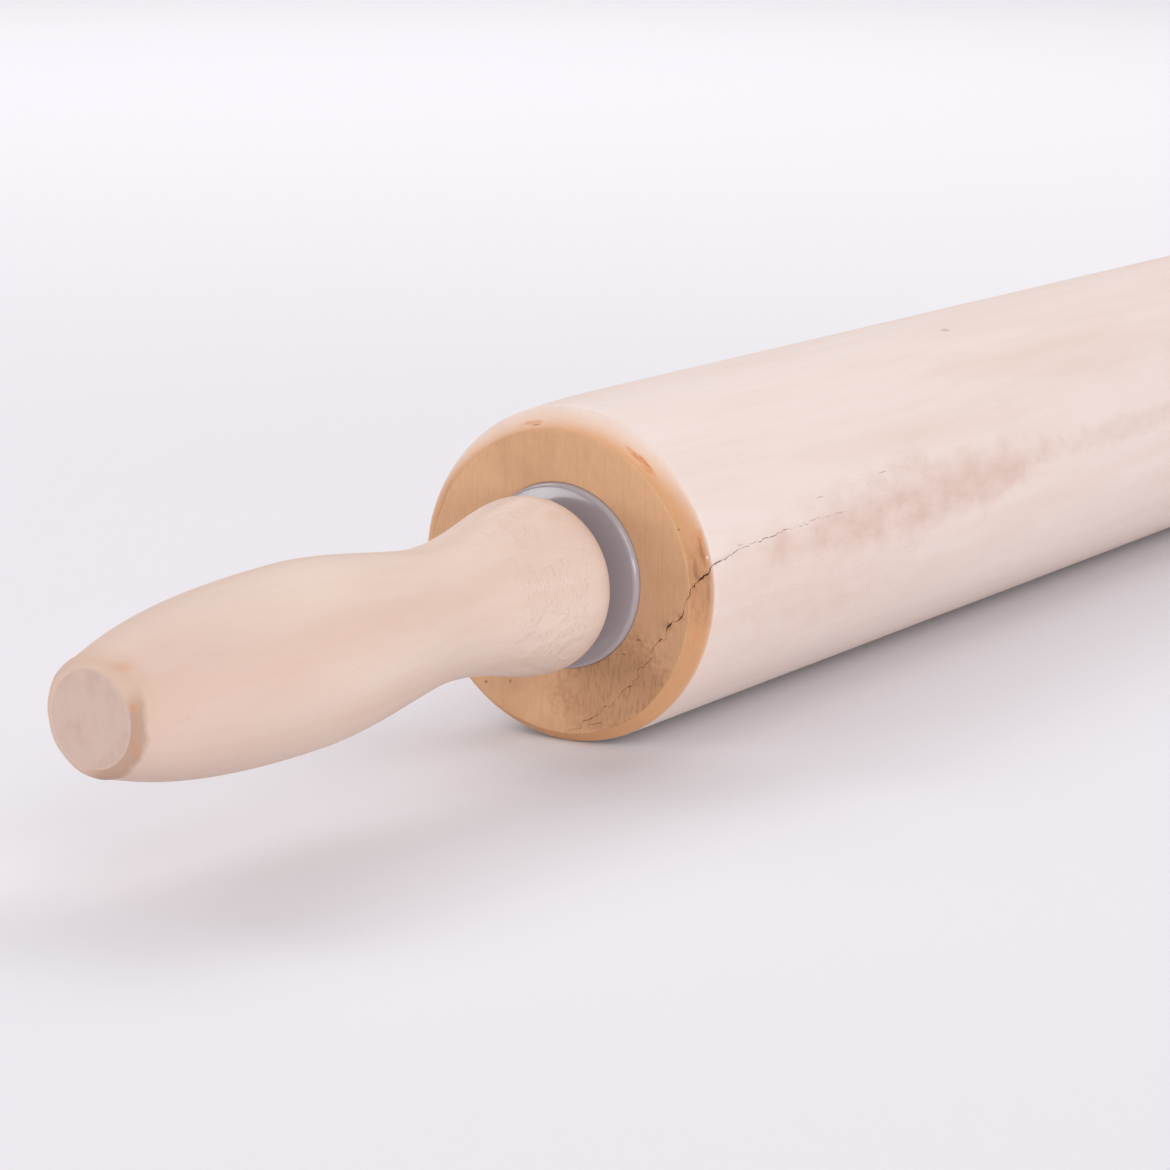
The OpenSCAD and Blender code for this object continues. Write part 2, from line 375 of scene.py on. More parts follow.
# %% Cut the crack
def swept(sections):
    """A closed bmesh: the first section's face, with its edge loop pulled through all the others."""
    bm = bmesh.new()
    ring = [bm.verts.new(p) for p in sections[0]]
    bm.faces.new(ring)
    for section in sections[1:]:
        loop = [bm.edges.get((ring[k - 1], ring[k])) for k in range(len(ring))]
        pulled = bmesh.ops.extrude_edge_only(bm, edges=loop)["geom"]
        follower = {e.other_vert(v): v for v in pulled if isinstance(v, bmesh.types.BMVert)
                    for e in v.link_edges if e.other_vert(v) in ring}
        ring = [follower[v] for v in ring]
        for vert, place in zip(ring, section):
            vert.co = place
    bm.faces.new(ring)
    bmesh.ops.recalc_face_normals(bm, faces=bm.faces)
    return bm


def cut_out(bm, tool):
    """The bmesh less the tool. Faces that the cut makes take the tool's second material."""
    blank = as_object(bm, "blank", (None, None))
    cut = blank.modifiers.new("cut", "BOOLEAN")
    cut.operation, cut.solver, cut.object = "DIFFERENCE", "EXACT", tool
    cut.use_self = True       # the crack's sharp turns make the wedge pass through itself
    left = bmesh.new()
    left.from_object(blank, bpy.context.evaluated_depsgraph_get())
    for used in (blank, tool):
        bpy.data.objects.remove(used)
    return left


wedge_bm = swept([across_crack(*station) for station in stations])
for face in wedge_bm.faces:
    face.material_index = 1
wedge = as_object(wedge_bm, "wedge", (None, None))
barrel_bm = cut_out(barrel_bm, wedge)
open_edges = sum(len(e.link_faces) != 2 for e in barrel_bm.edges)
in_crack = sum(f.material_index for f in barrel_bm.faces)
print("barrel:", len(barrel_bm.faces), "faces,", in_crack, "in the crack,", open_edges, "open edges")

# %% [markdown]
# ## How near each point is to the crack
# Dirt and oil creep into a split, so the wood beside it is a little darker. A shader can't know where the
# crack runs, but a mesh can carry a number on each of its points. The number is 1 at the crack and fades
# to 0 some millimetres away, and the wood's material reads it back by its name.

# %% Store the nearness
NEAR_CRACK = "near_crack"
STAIN_REACH = 1.5           # how slowly the dirt fades, in mm
FULL_STAIN = 0.15           # half width of a crack that is as dirty as can be

nearness = barrel_bm.verts.layers.float.new(NEAR_CRACK)
nearest = kdtree.KDTree(len(stations))
for k, (at, *_) in enumerate(stations):
    nearest.insert(in_scene(at), k)
nearest.balance()
for vert in barrel_bm.verts:
    _, k, away = nearest.find(vert.co)
    vert[nearness] = math.exp(-away / MM / STAIN_REACH) * min(1, stations[k][3] / FULL_STAIN)
print("points darkened by the crack:", sum(vert[nearness] > 0.1 for vert in barrel_bm.verts))
barrel = finished(barrel_bm, "barrel_turned", "roller", "barrel")

# %% [markdown]
# ## The bushes
# A moulded plastic bush sits in each end of the barrel. Only its flange shows, as a grey ring with a
# rounded rim. Its gloss would show every flat of a coarse mesh, so it gets many segments around. The right
# bush is the left one mirrored, as one mould makes both.

# %% Turn the bushes
BUSH_AROUND = 192
BUSH_STEP = 4             # longest stretch of its outline


def mirrored(outline):
    """The same outline at the other end of the pin."""
    return [(-x, r) for x, r in outline]


bushes = []
for outline, name, node in ((bush_outline, "bush_left_moulded", "bush_left"),
                            (mirrored(bush_outline), "bush_right_moulded", "bush_right")):
    bush_bm = turned(divided(outline, lambda x, r: BUSH_STEP), BUSH_AROUND)
    bushes.append(finished(bush_bm, name, "roller", node))

# %% [markdown]
# ## The handles
# A handle has a bead next to the bush, a neck for two fingers, a swell for the palm and a flat tip. Its
# line is one Bezier curve through those places, which is how a turner's template is drawn: each place has
# a radius, and the line runs level there for a while before it bends away. The hidden back and the blind
# hole for the rod are taken from the CAD outline.

# %% The line of a handle
ROUND = 0.5523        # the share of a quarter circle's radius that its Bezier handles are long
BACK_X, TIP_X = (corner.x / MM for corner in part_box("handle_right"))
BACK_R, TIP_R = 9.3, 6.2      # radius of the flat back face and of the flat tip
TIP_RUN, TIP_RISE = 2.0, 1.8  # how far the tip's rounded rim reaches along the pin, and outwards
TIP_RING = 1.2                # width of the outermost ring of faces on the flat tip
BEAD_IN = 5.0                 # where the bead is widest
FEWEST_POINTS = 6             # on one stretch of the line
# Place from the back face, radius, run before it, run after it, fall of the line that arrives
STATIONS = [
    (BEAD_IN, 12.95, ROUND * BEAD_IN, 4.8, 0),
    (29.2, 9.55, 11.2, 7.3, 0),
    (59.0, 12.50, 11.2, 26.5, 0),
    (TIP_X - BACK_X - TIP_RUN, TIP_R + TIP_RISE, 4.5, ROUND * TIP_RUN, 0.22)]


def handle_line(step):
    """The visible outline of the right handle, from the back face's edge to the middle of the tip."""
    knots = [(BACK_X, BACK_R, (0, 0), (0, ROUND * (STATIONS[0][1] - BACK_R)))]
    for x, r, before, after, fall in STATIONS:
        knots.append((BACK_X + x, r, (-before, before * fall), (after, 0)))
    knots.append((TIP_X, TIP_R, (0, ROUND * TIP_RISE), (0, 0)))
    line = []
    for (xa, ra, _, leave), (xb, rb, arrive, _) in zip(knots, knots[1:]):
        points = [Vector((xa, ra, 0)), Vector((xa + leave[0], ra + leave[1], 0)),
                  Vector((xb + arrive[0], rb + arrive[1], 0)), Vector((xb, rb, 0))]
        count = max(FEWEST_POINTS, round((points[3] - points[0]).length / step))
        line += [(p.x, p.y) for p in geometry.interpolate_bezier(*points, count)][:-1]
    return line + [(TIP_X, TIP_R), (TIP_X, TIP_R - TIP_RING), (TIP_X, TIP_R / 2), (TIP_X, 0)]


def hidden_back():
    """The CAD outline of the blind hole and of the back face, from the hole's bottom outwards."""
    outline = mirrored(handle_outline)
    back = next(k for k, (x, r) in enumerate(outline) if x < BACK_X + SLACK and r > BACK_R - SLACK)
    return outline[:back]


print("handle: from", round(BACK_X, 1), "to", round(TIP_X, 1), "mm from the middle of the pin")

# %% [markdown]
# A handle is sanded while it spins, but the tool that cut the bead left faint rings, and the rim of the
# tip was broken by hand. These are shapes, so they go into the mesh: rings that come and go around the
# bead, a slow wave over the whole handle, and a shorter one on the tip's rim. The torn fibres behind the
# bead are finer than the mesh, so they come later, as a bump in the material.

# %% Turn the handles
HANDLE_AROUND = 176
HANDLE_STEP = 0.5                     # spacing of the points along its line, in mm
TOOL_PITCH, TOOL_DEPTH = 1.3, 0.018   # spacing and depth of the tool's rings
TOOL_FROM, TOOL_TO = 2, 32            # where they begin and end, from the back face
TOOL_FADES_IN, TOOL_FADES_OUT = 4, 10
TOOLED_R = 9                          # the tool touched nothing inside this radius
HOLE_R, BACK_FLAT = 7.5, 3            # the blind hole's radius, and the stretch at the back that stays true
HANDLE_WAVE = (0.06, 17)              # how far the surface strays, and how long its waves are
TIP_WAVE, TIP_REACH = (0.16, 3.1), 2.5        # the same for the tip's rim, and how far from the tip


def tool_marks(bm, side):
    """Faint rings that the gouge left on the bead and in the hollow behind it, patchy around the handle."""
    for vert, x, y, z, r in places(bm):
        along = x * side - BACK_X
        if r < TOOLED_R or not TOOL_FROM < along < TOOL_TO:
            continue
        patch = max(0, noise.noise(Vector((x * side * 0.12, y * 0.2, z * 0.2 + 40 * side))) + 0.25)
        fade = min(1, (along - TOOL_FROM) / TOOL_FADES_IN, (TOOL_TO - along) / TOOL_FADES_OUT)
        ring = math.sin(math.tau * along / TOOL_PITCH + noise.noise(vert.co / MM / 6))
        push_out(vert, y, z, r, TOOL_DEPTH * patch * fade * ring)


def turned_handle(side, name, node):
    """A handle on the left (side -1) or the right (side 1) end."""
    outline = [(side * x, r) for x, r in hidden_back() + handle_line(HANDLE_STEP)]
    bm = turned(outline, HANDLE_AROUND, closed=False)
    wavy(bm, *HANDLE_WAVE, lambda x, r: r > HOLE_R and abs(x) > BACK_X + BACK_FLAT)
    wavy(bm, *TIP_WAVE, lambda x, r: (r > TIP_R - SLACK) * max(0, 1 - (TIP_X - abs(x)) / TIP_REACH))
    tool_marks(bm, side)
    return finished(bm, name, "handles", node)


handles = [turned_handle(-1, "handle_left_turned", "handle_left"),
           turned_handle(1, "handle_right_turned", "handle_right")]

# %% [markdown]
# ## Shader maths that reads like maths
# A procedural material is mostly arithmetic on sockets, and a chain of Math nodes is hard to read as code.
# A small class around a socket lets Python's own signs add those nodes, so that 1 - mask works on a node
# as it does on a number. All other nodes come from one method, which sets a node's options first, because
# some options change which sockets the node has.

# %% A socket with arithmetic
class Value:
    """An output socket that Python's signs work on. Each sign adds a Math node."""

    def __init__(self, finish, socket):
        self.finish, self.socket = finish, socket

    def math(self, operation, *values):
        """Adds a Math node on any values. The signs below all come here."""
        return self.finish.node("ShaderNodeMath", {"operation": operation}, dict(enumerate(values)))

    def __add__(self, other):
        return self.math("ADD", self, other)

    def __sub__(self, other):
        return self.math("SUBTRACT", self, other)

    def __rsub__(self, other):
        return self.math("SUBTRACT", other, self)

    def __mul__(self, other):
        return self.math("MULTIPLY", self, other)

    def __truediv__(self, other):
        return self.math("DIVIDE", self, other)

    def __pow__(self, other):
        return self.math("POWER", self, other)

    def __abs__(self):
        return self.math("ABSOLUTE", self)

    __radd__, __rmul__ = __add__, __mul__


# %% A finish, node by node
class Finish:
    """A material that is built node by node. Places in it are millimetres from the middle of the pin."""

    def __init__(self, name):
        self.material = bpy.data.materials.new(name)
        self.material.use_nodes = True
        self.tree = self.material.node_tree
        self.tree.nodes.clear()
        metres = self.node("ShaderNodeTexCoord", out="Object")
        self.place = self.vector("MULTIPLY_ADD", metres, (1 / MM,) * 3, (0, 0, -AXIS))
        self.x, self.y, self.z = (self.node("ShaderNodeSeparateXYZ", {}, {"Vector": self.place}, out=axis)
                                  for axis in "XYZ")

    def node(self, kind, settings=None, inputs=None, out=0):
        """Adds a node: its settings first, then the values or links of its sockets, by number or name."""
        def find(sockets, key):
            return sockets[key] if isinstance(key, int) else next(
                s for s in sockets if s.enabled and s.name == key)

        made = self.tree.nodes.new(kind)
        for key, value in (settings or {}).items():
            setattr(made, key, value)
        for key, value in (inputs or {}).items():
            if isinstance(value, Value):
                self.tree.links.new(value.socket, find(made.inputs, key))
            else:
                find(made.inputs, key).default_value = value
        return Value(self, find(made.outputs, out))

    def vector(self, operation, *values, out=0):
        """Adds a Vector Math node."""
        return self.node("ShaderNodeVectorMath", {"operation": operation}, dict(enumerate(values)), out)

    def joined(self, x, y, z):
        """A vector from three values."""
        return self.node("ShaderNodeCombineXYZ", {}, {"X": x, "Y": y, "Z": z})

    def radius(self):
        """How far a point is from the pin's axis."""
        return self.vector("LENGTH", self.scaled(0, 1, 1), out="Value")

    def scaled(self, x, y, z):
        """The place, with each part scaled by its own number. A larger one makes a pattern finer."""
        return self.vector("MULTIPLY", self.place, (x, y, z))

    def stretched(self, along, across, shift=0):
        """The place, scaled for grain that runs along the pin, and shifted."""
        scale, move = (along, across, across), (shift, 0.7 * shift, -shift)
        return self.vector("MULTIPLY_ADD", self.place, scale, move)

    def cells(self, at):
        """How far a point is from the middle of its random cell."""
        return self.node("ShaderNodeTexVoronoi", {"feature": "F1"}, {
            "Vector": at, "Scale": 1.0, "Randomness": 1.0}, out="Distance")

    def noise(self, at, detail=3.0, roughness=0.5, distortion=0.0):
        """Cloudy noise around 0.5. Detail adds finer clouds, and roughness makes those stronger."""
        return self.node("ShaderNodeTexNoise", {}, {
            "Vector": at, "Scale": 1.0, "Detail": detail, "Roughness": roughness, "Distortion": distortion})

    def span(self, value, low, high, start=0.0, end=1.0):
        """A smooth step from start to end, as value goes from low to high."""
        return self.node("ShaderNodeMapRange", {"interpolation_type": "SMOOTHSTEP"}, {
            "Value": value, "From Min": low, "From Max": high, "To Min": start, "To Max": end})

    def mix(self, share, a, b):
        """Colour a with a share of colour b over it."""
        a, b = ((*c, 1) if isinstance(c, tuple) else c for c in (a, b))
        return self.node("ShaderNodeMix", {"data_type": "RGBA"},
                         {"Factor": share, "A": a, "B": b}, out="Result")

    def spot(self, centre, size, wobble=0.25, coarse=1.0):
        """1 at the centre of a mark, 0 outside it. The size is its half length along X, Y and Z.

        Noise makes its outline ragged: wobble says how much, and coarse how large the rags are.
        """
        away = self.vector("SUBTRACT", self.place, centre)
        near = self.vector("LENGTH", self.vector("DIVIDE", away, size), out="Value")
        rags = self.noise(self.stretched(0.9 / coarse, 1.3 / coarse, centre[0]))
        return self.span(near + (rags - 0.5) * (2 * wobble), 1.0, 0.35)

    def marked(self, colour, marks, wobble=0.25):
        """A colour with marks on it, each given as (centre, size, colour, share)."""
        for centre, size, mark, share in marks:
            colour = self.mix(self.spot(centre, size, wobble) * share, colour, mark)
        return colour

    def bump(self, height, distance, strength=1.0, over=None):
        """A normal from a height. The distance is in mm."""
        inputs = {"Height": height, "Distance": distance * MM, "Strength": strength}
        return self.node("ShaderNodeBump", {}, inputs | ({"Normal": over} if over else {}))

    def surface(self, **sockets):
        """Ends the material with a Principled BSDF. An underscore in a name stands for a space."""
        shader = self.node("ShaderNodeBsdfPrincipled", {}, {
            name.replace("_", " "): value for name, value in sockets.items()})
        output = self.tree.nodes.new("ShaderNodeOutputMaterial")
        self.tree.links.new(shader.socket, output.inputs["Surface"])
        print(self.material.name, "has", len(self.tree.nodes), "nodes")
        return self.material


# %% [markdown]
# ## Wood
# Wood is a solid material: the same growth rings that make lines on the end grain make flames and streaks
# along the side. So the pattern is worked out in space and not painted on the surface. The rings are
# distances from a pith line that runs beside the piece, bent by slow noise. Fibres are noise that is
# stretched along the pin, and pores and flecks are small cells stretched the same way.

# %% The grain of a wood
def grain(f, pith, ring_width, wander, shift):
    """A wood's late wood, fibres, tone and flecks, each from 0 to 1."""
    bend_y = (f.noise(f.stretched(0.011, 0.035, shift), 2.0) - 0.5) * wander
    bend_z = (f.noise(f.stretched(0.013, 0.035, shift + 31), 2.0) - 0.5) * wander
    across = f.joined(0.0, f.y - pith[0] + bend_y, f.z - pith[1] + bend_z)
    distance = f.vector("LENGTH", across, out="Value")
    rings = distance / ring_width + f.noise(f.stretched(0.004, 0.16, shift + 7), 2.0) * 2.2
    year = rings.math("FRACT", rings)
    late = f.span(year, 0.25, 0.86) * f.span(year, 1.0, 0.9)
    fibres = f.noise(f.stretched(0.035, 2.1, shift + 3), 5.0, 0.62)
    tone = f.noise(f.stretched(0.012, 0.11, shift + 11), 3.0, 0.55)
    cells = f.cells(f.stretched(0.55, 2.6, shift + 17))
    flecks = f.span(cells, 0.24, 0.10) * f.span(f.noise(f.stretched(0.07, 0.3, shift + 23)), 0.46, 0.62)
    return late, fibres, tone, flecks


# %% [markdown]
# ## The barrel's wood
# The side is pale and slightly pink, with a cloudy darker figure beyond the crack's end. The end grain,
# which drinks oil and dirt, is honey brown with short upright strokes. On the broken edge the brown runs
# out: at the top it is painted lighter, a brighter orange and then peach that fade to the pale side within
# the edge's own width, as a painted highlight, and at the front and below the brown lasts almost to the
# rim. A ratio that is 0 at the face's border and 1 at the rim, raised to a power that changes with height,
# gives both. The marks of this very barrel are spots in space, and streaks that follow the rim: dark nicks,
# reddish stains, a pale chip and a few pinholes.

# %% The barrel's colours and grain
SIDE_PALE, SIDE_WARM, SIDE_FIGURE = (0.768, 0.650, 0.594), (0.738, 0.600, 0.530), (0.585, 0.385, 0.312)
END_LIGHT, END_BROWN, END_DARK = (0.625, 0.360, 0.198), (0.495, 0.267, 0.134), (0.230, 0.100, 0.045)
EDGE_ORANGE, EDGE_OILED, EDGE_LINE = (0.590, 0.305, 0.145), (0.420, 0.205, 0.095), (0.400, 0.200, 0.100)
EDGE_HIGHLIGHT_ORANGE, EDGE_HIGHLIGHT_PEACH, CHIP_PALE = (0.660, 0.335, 0.150), (0.712, 0.432, 0.254), (0.880, 0.730, 0.560)
NICK_BROWN, RED_BROWN, PIN_DARK = (0.210, 0.090, 0.042), (0.620, 0.215, 0.062), (0.100, 0.050, 0.030)
EDGE_RUN, EDGE_RUN_MORE = 1.6, 0.5      # how far the edge reaches along the pin, and how much more below

f = Finish("sanded_beech")
late, fibres, tone, flecks = grain(f, pith=(66.0, -14.0), ring_width=1.7, wander=11.0, shift=5.0)
radius = f.radius()
from_end = FACE_X - abs(f.x)

# %% The side
side = f.mix(f.span(tone, 0.35, 0.70), SIDE_PALE, SIDE_WARM)
side = f.mix(late * 0.05, side, SIDE_FIGURE)
side = f.mix(f.span(fibres, 0.50, 0.80) * 0.09, side, SIDE_FIGURE)
speckle = f.noise(f.stretched(0.9, 2.4, 41), 4.0, 0.7)
side = f.mix(f.span(speckle, 0.50, 0.75) * 0.10, side, SIDE_FIGURE)
figure = f.spot((-60, -24.6, 4.2), (54, 9, 7.4), 0.6, 5)
figure += f.spot((-46, -24.6, 3.6), (40, 9, 4.2), 0.6, 4) * 0.5
figure += f.spot((-98, -24.9, -2.0), (44, 9, 12.0), 0.6, 6) * 0.55
figure += f.spot((16, -24.6, 4.8), (50, 9, 3.0), 0.6, 4) * 0.6
clouds = f.noise(f.stretched(0.16, 0.36, 19), 5.0, 0.6)
side = f.mix(figure * (0.22 + f.span(clouds, 0.30, 0.72) * 0.24), side, SIDE_FIGURE)
front = f.spot((-70, -25, 1), (62, 12, 15), 0.3)
side = f.mix(flecks * (0.08 + front * 0.26), side, END_BROWN)

# %% The end grain
hatch = f.noise(f.scaled(0.6, 3.8, 0.42), 4.0, 0.65)
lines = f.noise(f.scaled(0.3, 1.5, 0.08), 3.0, 0.6)
strokes = f.noise(f.scaled(0.6, 2.2, 0.40), 2.5, 0.55)
pits = f.cells(f.scaled(1.0, 2.4, 1.5))
# Towards its lower front the end face is darker, with stronger strokes and pits: partly its own grain,
# partly painted shade.
low_front = f.spot((-FACE_X, -10.0, -16.0), (30, 13.5, 10.5), 0.35)
end = f.mix(f.span(tone + low_front * 0.40, 0.40, 0.90), END_LIGHT, END_BROWN)
end = f.mix(f.span(lines, 0.48, 0.72) * 0.30, end, END_BROWN)
end = f.mix(late * 0.06, end, END_BROWN)
end = f.mix(low_front * 0.16, end, END_DARK)
end = f.mix(f.span(hatch, 0.47, 0.68) * (0.12 + low_front * 0.22), end, END_DARK)
end = f.mix(f.span(strokes, 0.50, 0.63) * low_front * 0.34, end, END_DARK)
end = f.mix(f.span(pits, 0.16, 0.06) * (0.18 + low_front * 0.35), end, END_DARK)

# %% The broken edge between them, whose streaks follow the rim
streaks = f.noise(f.joined(f.y / radius * 9.0, f.z / radius * 9.0, (radius + from_end) * 1.7), 4.0, 0.65)
edge_run = f.span(f.y * -0.75 + f.z * -0.66, 4.0, 21.0, EDGE_RUN, EDGE_RUN + EDGE_RUN_MORE)
across_edge = from_end / edge_run + (fibres - 0.5) * 0.12 + (streaks - 0.5) * 0.12
across_edge = across_edge.math("MAXIMUM", across_edge, 0.0)
# Higher up, the pale side takes over sooner across the edge: part of the painted highlight.
fade_power = f.span(f.z, -2.0, 23.0, 8.0, 0.95)
pale_share = across_edge.math("MINIMUM", across_edge, 1.0) ** fade_power
high = f.span(f.z, 10.0, 21.0)
edge = f.mix(f.span(streaks, 0.48, 0.75) * 0.40, EDGE_ORANGE, END_BROWN)
border = f.span(f.y * 0.8 + f.z * 0.5, 8.0, 16.0) * f.span(from_end, 0.22, 0.08)
edge = f.mix(border * 0.75, edge, EDGE_LINE)
oiled = f.spot((-124.2, -24.0, 1.5), (3.0, 4.5, 9.0), 0.3)
edge = f.mix(oiled * (0.35 + f.span(streaks, 0.40, 0.62) * 0.45), edge, EDGE_OILED)
# Painted highlight: a brighter orange, then peach, on the top of the edge.
edge = f.mix(f.span(across_edge, 0.05, 0.70) * high, f.mix(high * 0.8, edge, EDGE_HIGHLIGHT_ORANGE), EDGE_HIGHLIGHT_PEACH)
wood = f.mix(pale_share, edge, side)
wood = f.mix(f.span(from_end + (streaks - 0.5) * 0.10, 0.14, 0.05), wood, end)
print("nodes so far:", len(f.tree.nodes))

# %% [markdown]
# A mark on the rim is longer along the rim than across it, whatever its direction from the axis. So its
# distances are measured along and across that direction, and the rim's own streaks break it up.

# %% The barrel's marks
RIM_MARK_DEPTH = 3.0      # how far a mark on the rim reaches along the pin


def rim_mark(f, degrees, r, half_length, half_width):
    """1 at the middle of a streak that follows the left rim, 0 outside it."""
    y, z = -math.sin(math.radians(degrees)), math.cos(math.radians(degrees))
    away = f.joined((f.x + FACE_X) / RIM_MARK_DEPTH, (f.y * z - f.z * y) / half_length,
                    (f.y * y + f.z * z - r) / half_width)
    return f.span(f.vector("LENGTH", away, out="Value") + (streaks - 0.5) * 2.4, 1.0, 0.45)


for degrees, r, half_length, half_width, colour, share in (
        (37, 22.6, 3.2, 0.55, RED_BROWN, 0.80), (35, 22.4, 1.4, 0.08, NICK_BROWN, 0.35),
        (40, 22.8, 1.3, 0.10, NICK_BROWN, 0.45), (347, 22.4, 2.4, 0.40, RED_BROWN, 0.45),
        (348, 22.1, 1.3, 0.16, NICK_BROWN, 0.60),
        (290, 22.8, 8.0, 0.25, EDGE_LINE, 0.50), (164, 22.6, 1.6, 0.45, EDGE_LINE, 0.60),
        (164, 22.2, 1.5, 0.16, NICK_BROWN, 0.70), (74, 24.1, 3.0, 0.80, RED_BROWN, 0.50),
        (76, 24.0, 2.2, 0.45, NICK_BROWN, 0.50), (82, 22.9, 2.0, 0.40, NICK_BROWN, 0.45),
        (90, 24.4, 2.6, 0.28, NICK_BROWN, 0.40), (104, 23.4, 3.4, 0.25, RED_BROWN, 0.30),
        (78, 24.6, 0.35, 0.18, CHIP_PALE, 0.60)):
    wood = f.mix(rim_mark(f, degrees, r, half_length, half_width) * share, wood, colour)
wood = f.marked(wood, [
    ((-125.0, -20.1, 8.9), (0.5, 0.26, 0.26), PIN_DARK, 0.85),
    ((-125.0, 13.2, -17.6), (0.5, 0.35, 0.30), PIN_DARK, 0.75),
    ((-125.0, 8.9, -16.9), (0.5, 0.30, 0.35), PIN_DARK, 0.60),
    ((-125.0, -13.6, -7.9), (0.5, 0.50, 0.22), END_DARK, 0.75),
    ((-125.0, -11.0, -10.3), (0.5, 0.50, 0.22), END_DARK, 0.75),
    ((-90.6, -23.5, 8.6), (1.3, 0.3, 0.13), NICK_BROWN, 0.50),
    ((-70.7, -23.2, 9.4), (1.6, 0.3, 0.12), NICK_BROWN, 0.45),
    ((-115.1, -24.4, 5.5), (1.2, 0.4, 0.22), END_BROWN, 0.45),
    ((-19.5, -6.5, 24.1), (1.6, 0.9, 0.6), NICK_BROWN, 0.35)])
near = f.node("ShaderNodeAttribute", {"attribute_name": NEAR_CRACK}, out="Fac")
wood = f.mix(f.span(near, 0.25, 1.0) * (0.20 + f.span(streaks, 0.35, 0.65) * 0.40), wood, NICK_BROWN)

end_grain = f.span(from_end, 1.2, 0.2)
relief = f.mix(end_grain, fibres, hatch)
barrel_wood = f.surface(
    Base_Color=wood,
    Roughness=0.52 + fibres * 0.16 + end_grain * 0.12,
    Normal=f.bump(flecks * -0.6 + pits * end_grain * 0.5, 0.03, over=f.bump(relief, 0.05, 0.5)))

# %% [markdown]
# ## The wood inside the crack
# Torn wood in a split is rough, dry and dirty. The groove is dark by its own shade, so a dull brown with
# splinters is enough. It is a second material of the same piece, on the faces that the boolean cut.

# %% Crack finish
TORN_DARK, TORN_PALE = (0.190, 0.085, 0.042), (0.460, 0.240, 0.125)
f = Finish("torn_wood")
splinters = f.noise(f.stretched(0.9, 4.0), 4.0, 0.7)
torn_wood = f.surface(
    Base_Color=f.mix(splinters, TORN_DARK, TORN_PALE),
    Roughness=0.85 + splinters * 0.1,
    Normal=f.bump(splinters, 0.1))

# %% [markdown]
# ## The handles' wood
# The handles are turned from another stick, slightly pinker than the barrel, with soft streaks along them.
# Where the surface turns towards the end grain it is warmer: in a band on the bead next to the bush, and
# around the tip, whose flat disc is a greyer pink. Where the disc meets the side the rim is faintly darker
# all round, and painted shade makes it a dark crescent on its front and lower side.

# %% The handles' colours and grain
HANDLE_PALE, HANDLE_WARM = (0.705, 0.556, 0.470), (0.662, 0.488, 0.396)
HANDLE_STREAK, BEAD_HONEY = (0.585, 0.390, 0.298), (0.690, 0.470, 0.320)
TIP_DUSK, TIP_GOLD, CRESCENT = (0.570, 0.385, 0.312), (0.600, 0.410, 0.300), (0.380, 0.220, 0.145)
DISC_PINK, DISC_SHADE = (0.550, 0.398, 0.332), (0.490, 0.338, 0.280)

f = Finish("turned_beech")
late, fibres, tone, flecks = grain(f, pith=(-19.0, 34.0), ring_width=2.3, wander=7.0, shift=60.0)
radius = f.radius()
from_back = abs(f.x) - BACK_X
from_tip = TIP_X - abs(f.x)
wood = f.mix(f.span(tone, 0.35, 0.68), HANDLE_PALE, HANDLE_WARM)
wood = f.mix(late * 0.04, wood, HANDLE_STREAK)
wood = f.mix(f.span(fibres, 0.48, 0.80) * 0.13, wood, HANDLE_STREAK)
speckle = f.noise(f.stretched(1.1, 2.2, 90), 4.0, 0.7)
wood = f.mix(f.span(speckle, 0.50, 0.75) * 0.12, wood, HANDLE_STREAK)
wood = f.mix(flecks * 0.10, wood, END_BROWN)
wood = f.mix(f.span(from_tip + (tone - 0.5) * 20, 42.0, 6.0) * 0.42, wood, TIP_DUSK)

# %% Warmer where the fibres end: the back of the bead and the rim of the tip
ragged = (fibres - 0.5) * 2.5
wood = f.mix(f.span(from_back + ragged, 3.6, 0.8) * 0.60, wood, BEAD_HONEY)
high = f.span(f.z - f.y * 0.3, 1.0, 6.0)
wood = f.mix(f.span(from_tip + ragged, 5.0, 1.5) * (0.15 + high * 0.42), wood, TIP_GOLD)
mottle = f.noise(f.scaled(0.5, 0.42, 0.30), 3.0, 0.6)
disc = f.mix(f.span(mottle, 0.40, 0.70) * 0.8, DISC_PINK, DISC_SHADE)
on_disc = f.span(radius + (mottle - 0.5) * 0.5, TIP_R + 0.30, TIP_R - 0.15) * f.span(from_tip, 1.5, 1.0)
wood = f.mix(on_disc, wood, disc)
# Painted shade: the crescent where the tip's rim faces the front and below; all round the rim it is only
# faintly darker.
shaded_front_low = f.span(f.y * 0.82 + f.z * 0.57, -1.8, -5.4)
crescent = f.span(radius, TIP_R, TIP_R + 0.25) * f.span(from_tip + (mottle - 0.5) * 1.6, 2.0, 0.7)
wood = f.mix(crescent * (0.06 + shaded_front_low * 0.70), wood, CRESCENT)
wood = f.marked(wood, [
    ((-226.2, -4.6, 7.0), (2.0, 1.9, 1.0), RED_BROWN, 0.26),
    ((-226.9, -6.6, 2.2), (1.4, 0.7, 0.9), RED_BROWN, 0.42),
    ((-226.6, -6.6, -2.4), (1.4, 0.8, 2.0), RED_BROWN, 0.25),
    ((-226.6, 6.2, 4.6), (0.9, 0.6, 0.9), CRESCENT, 0.60),
    ((-138.5, -3.0, 12.2), (3.6, 2.2, 2.0), HANDLE_STREAK, 0.30),
    ((-136.0, -6.0, 11.2), (2.2, 1.6, 1.6), HANDLE_STREAK, 0.30)], wobble=0.4)

